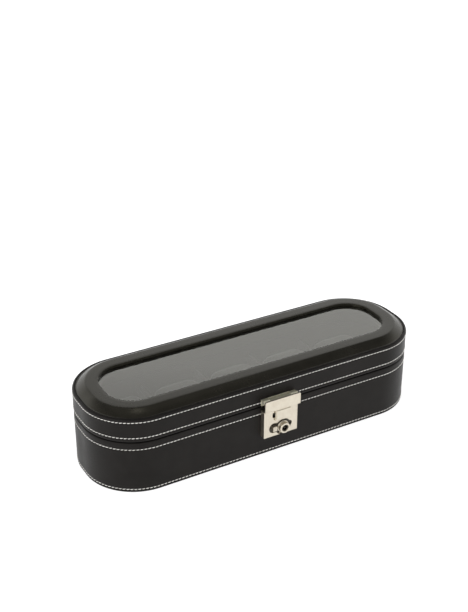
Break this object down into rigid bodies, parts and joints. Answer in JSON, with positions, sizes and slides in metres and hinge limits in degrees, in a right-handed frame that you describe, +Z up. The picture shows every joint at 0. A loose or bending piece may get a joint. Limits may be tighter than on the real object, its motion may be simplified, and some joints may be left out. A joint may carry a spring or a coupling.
{
  "type": "watch box",
  "caption": "Long leather-covered watch case with half-round ends, a hinged glass lid, a sprung hasp lock on its front, and lift-out watch cushions between dividers.",
  "frame": {"origin": "middle of the underside of the case, on the surface it stands on, without the lock", "axes": "+X along the case to its right-hand end seen from the front, +Y towards the hinged back, +Z up"},
  "size_m": [0.34, 0.1263, 0.081],
  "materials": {
    "leather": "smooth black leather with a light sheen, white thread in the seams",
    "satin_frame": "smooth dark brown-black leather stretched over a moulding, satin",
    "board": "plain fibreboard, unfinished",
    "suede_lining": "black suede cloth",
    "cushion_cloth": "dark suede cloth",
    "glass": "clear flat glass",
    "nickel": "warm nickel plate, lightly polished",
    "steel": "plain steel"
  },
  "bodies": {
    "base": {"sole_sheet": "suede_lining", "base_wall": "board", "base_leather": "leather", "bottom_board": "board", "floor_lining": "suede_lining", "base_lining": "suede_lining", "divider_1": "suede_lining", "divider_2": "suede_lining", "divider_3": "suede_lining", "divider_4": "suede_lining", "hinge_left_base_leaf": "nickel", "hinge_right_base_leaf": "nickel", "hinge_left_pin": "steel", "hinge_right_pin": "steel", "hinge_left_base_screw_outer": "steel", "hinge_left_base_screw_inner": "steel", "hinge_right_base_screw_outer": "steel", "hinge_right_base_screw_inner": "steel", "lock_back_plate": "steel", "lock_case": "nickel", "latch_spring": "steel", "case_tack_1": "steel", "case_tack_2": "steel", "case_tack_3": "steel", "case_tack_4": "steel"},
    "lid": {"lid_wall": "board", "lid_leather": "leather", "lid_lining": "suede_lining", "glass_retainer": "suede_lining", "top_frame": "satin_frame", "glass_pane": "glass", "hinge_left_lid_leaf": "nickel", "hinge_right_lid_leaf": "nickel", "hinge_left_lid_screw_outer": "steel", "hinge_left_lid_screw_inner": "steel", "hinge_right_lid_screw_outer": "steel", "hinge_right_lid_screw_inner": "steel", "hasp_bracket": "nickel", "hasp_pin": "steel", "hasp_tack_1": "steel", "hasp_tack_2": "steel"},
    "hasp": {"hasp_plate": "nickel", "strike_hook": "steel"},
    "latch": {"latch_slider": "nickel"},
    "key_plug": {"key_plug": "nickel"},
    "cushion_1": {"cushion_1": "cushion_cloth"},
    "cushion_2": {"cushion_2": "cushion_cloth"},
    "cushion_3": {"cushion_3": "cushion_cloth"},
    "cushion_4": {"cushion_4": "cushion_cloth"},
    "cushion_5": {"cushion_5": "cushion_cloth"}
  },
  "joints": [
    {"name": "lid_hinge", "type": "hinge", "parent": "base", "child": "lid", "pos_m": [0, 0.0583, 0.05235], "axis": [-1, 0, 0], "range_deg": [0, 100]},
    {"name": "hasp_hinge", "type": "hinge", "parent": "lid", "child": "hasp", "pos_m": [0, -0.0602, 0.0589], "axis": [-1, 0, 0], "range_deg": [0, 105]},
    {"name": "latch_slide", "type": "slide", "parent": "base", "child": "latch", "axis": [-1, 0, 0], "range_m": [0, 0.0022], "stiffness_N_per_m": 800, "springref_m": -0.001, "deforming": ["latch_spring"]},
    {"name": "key_turn", "type": "hinge", "parent": "latch", "child": "key_plug", "pos_m": [0.003, -0.06, 0.0285], "axis": [0, 1, 0], "range_deg": [0, 90]},
    {"name": "cushion_1_lift", "type": "slide", "parent": "base", "child": "cushion_1", "axis": [0, 0, 1], "range_m": [0, 0.024]},
    {"name": "cushion_2_lift", "type": "slide", "parent": "base", "child": "cushion_2", "axis": [0, 0, 1], "range_m": [0, 0.024]},
    {"name": "cushion_3_lift", "type": "slide", "parent": "base", "child": "cushion_3", "axis": [0, 0, 1], "range_m": [0, 0.024]},
    {"name": "cushion_4_lift", "type": "slide", "parent": "base", "child": "cushion_4", "axis": [0, 0, 1], "range_m": [0, 0.024]},
    {"name": "cushion_5_lift", "type": "slide", "parent": "base", "child": "cushion_5", "axis": [0, 0, 1], "range_m": [0, 0.024]}
  ]
}
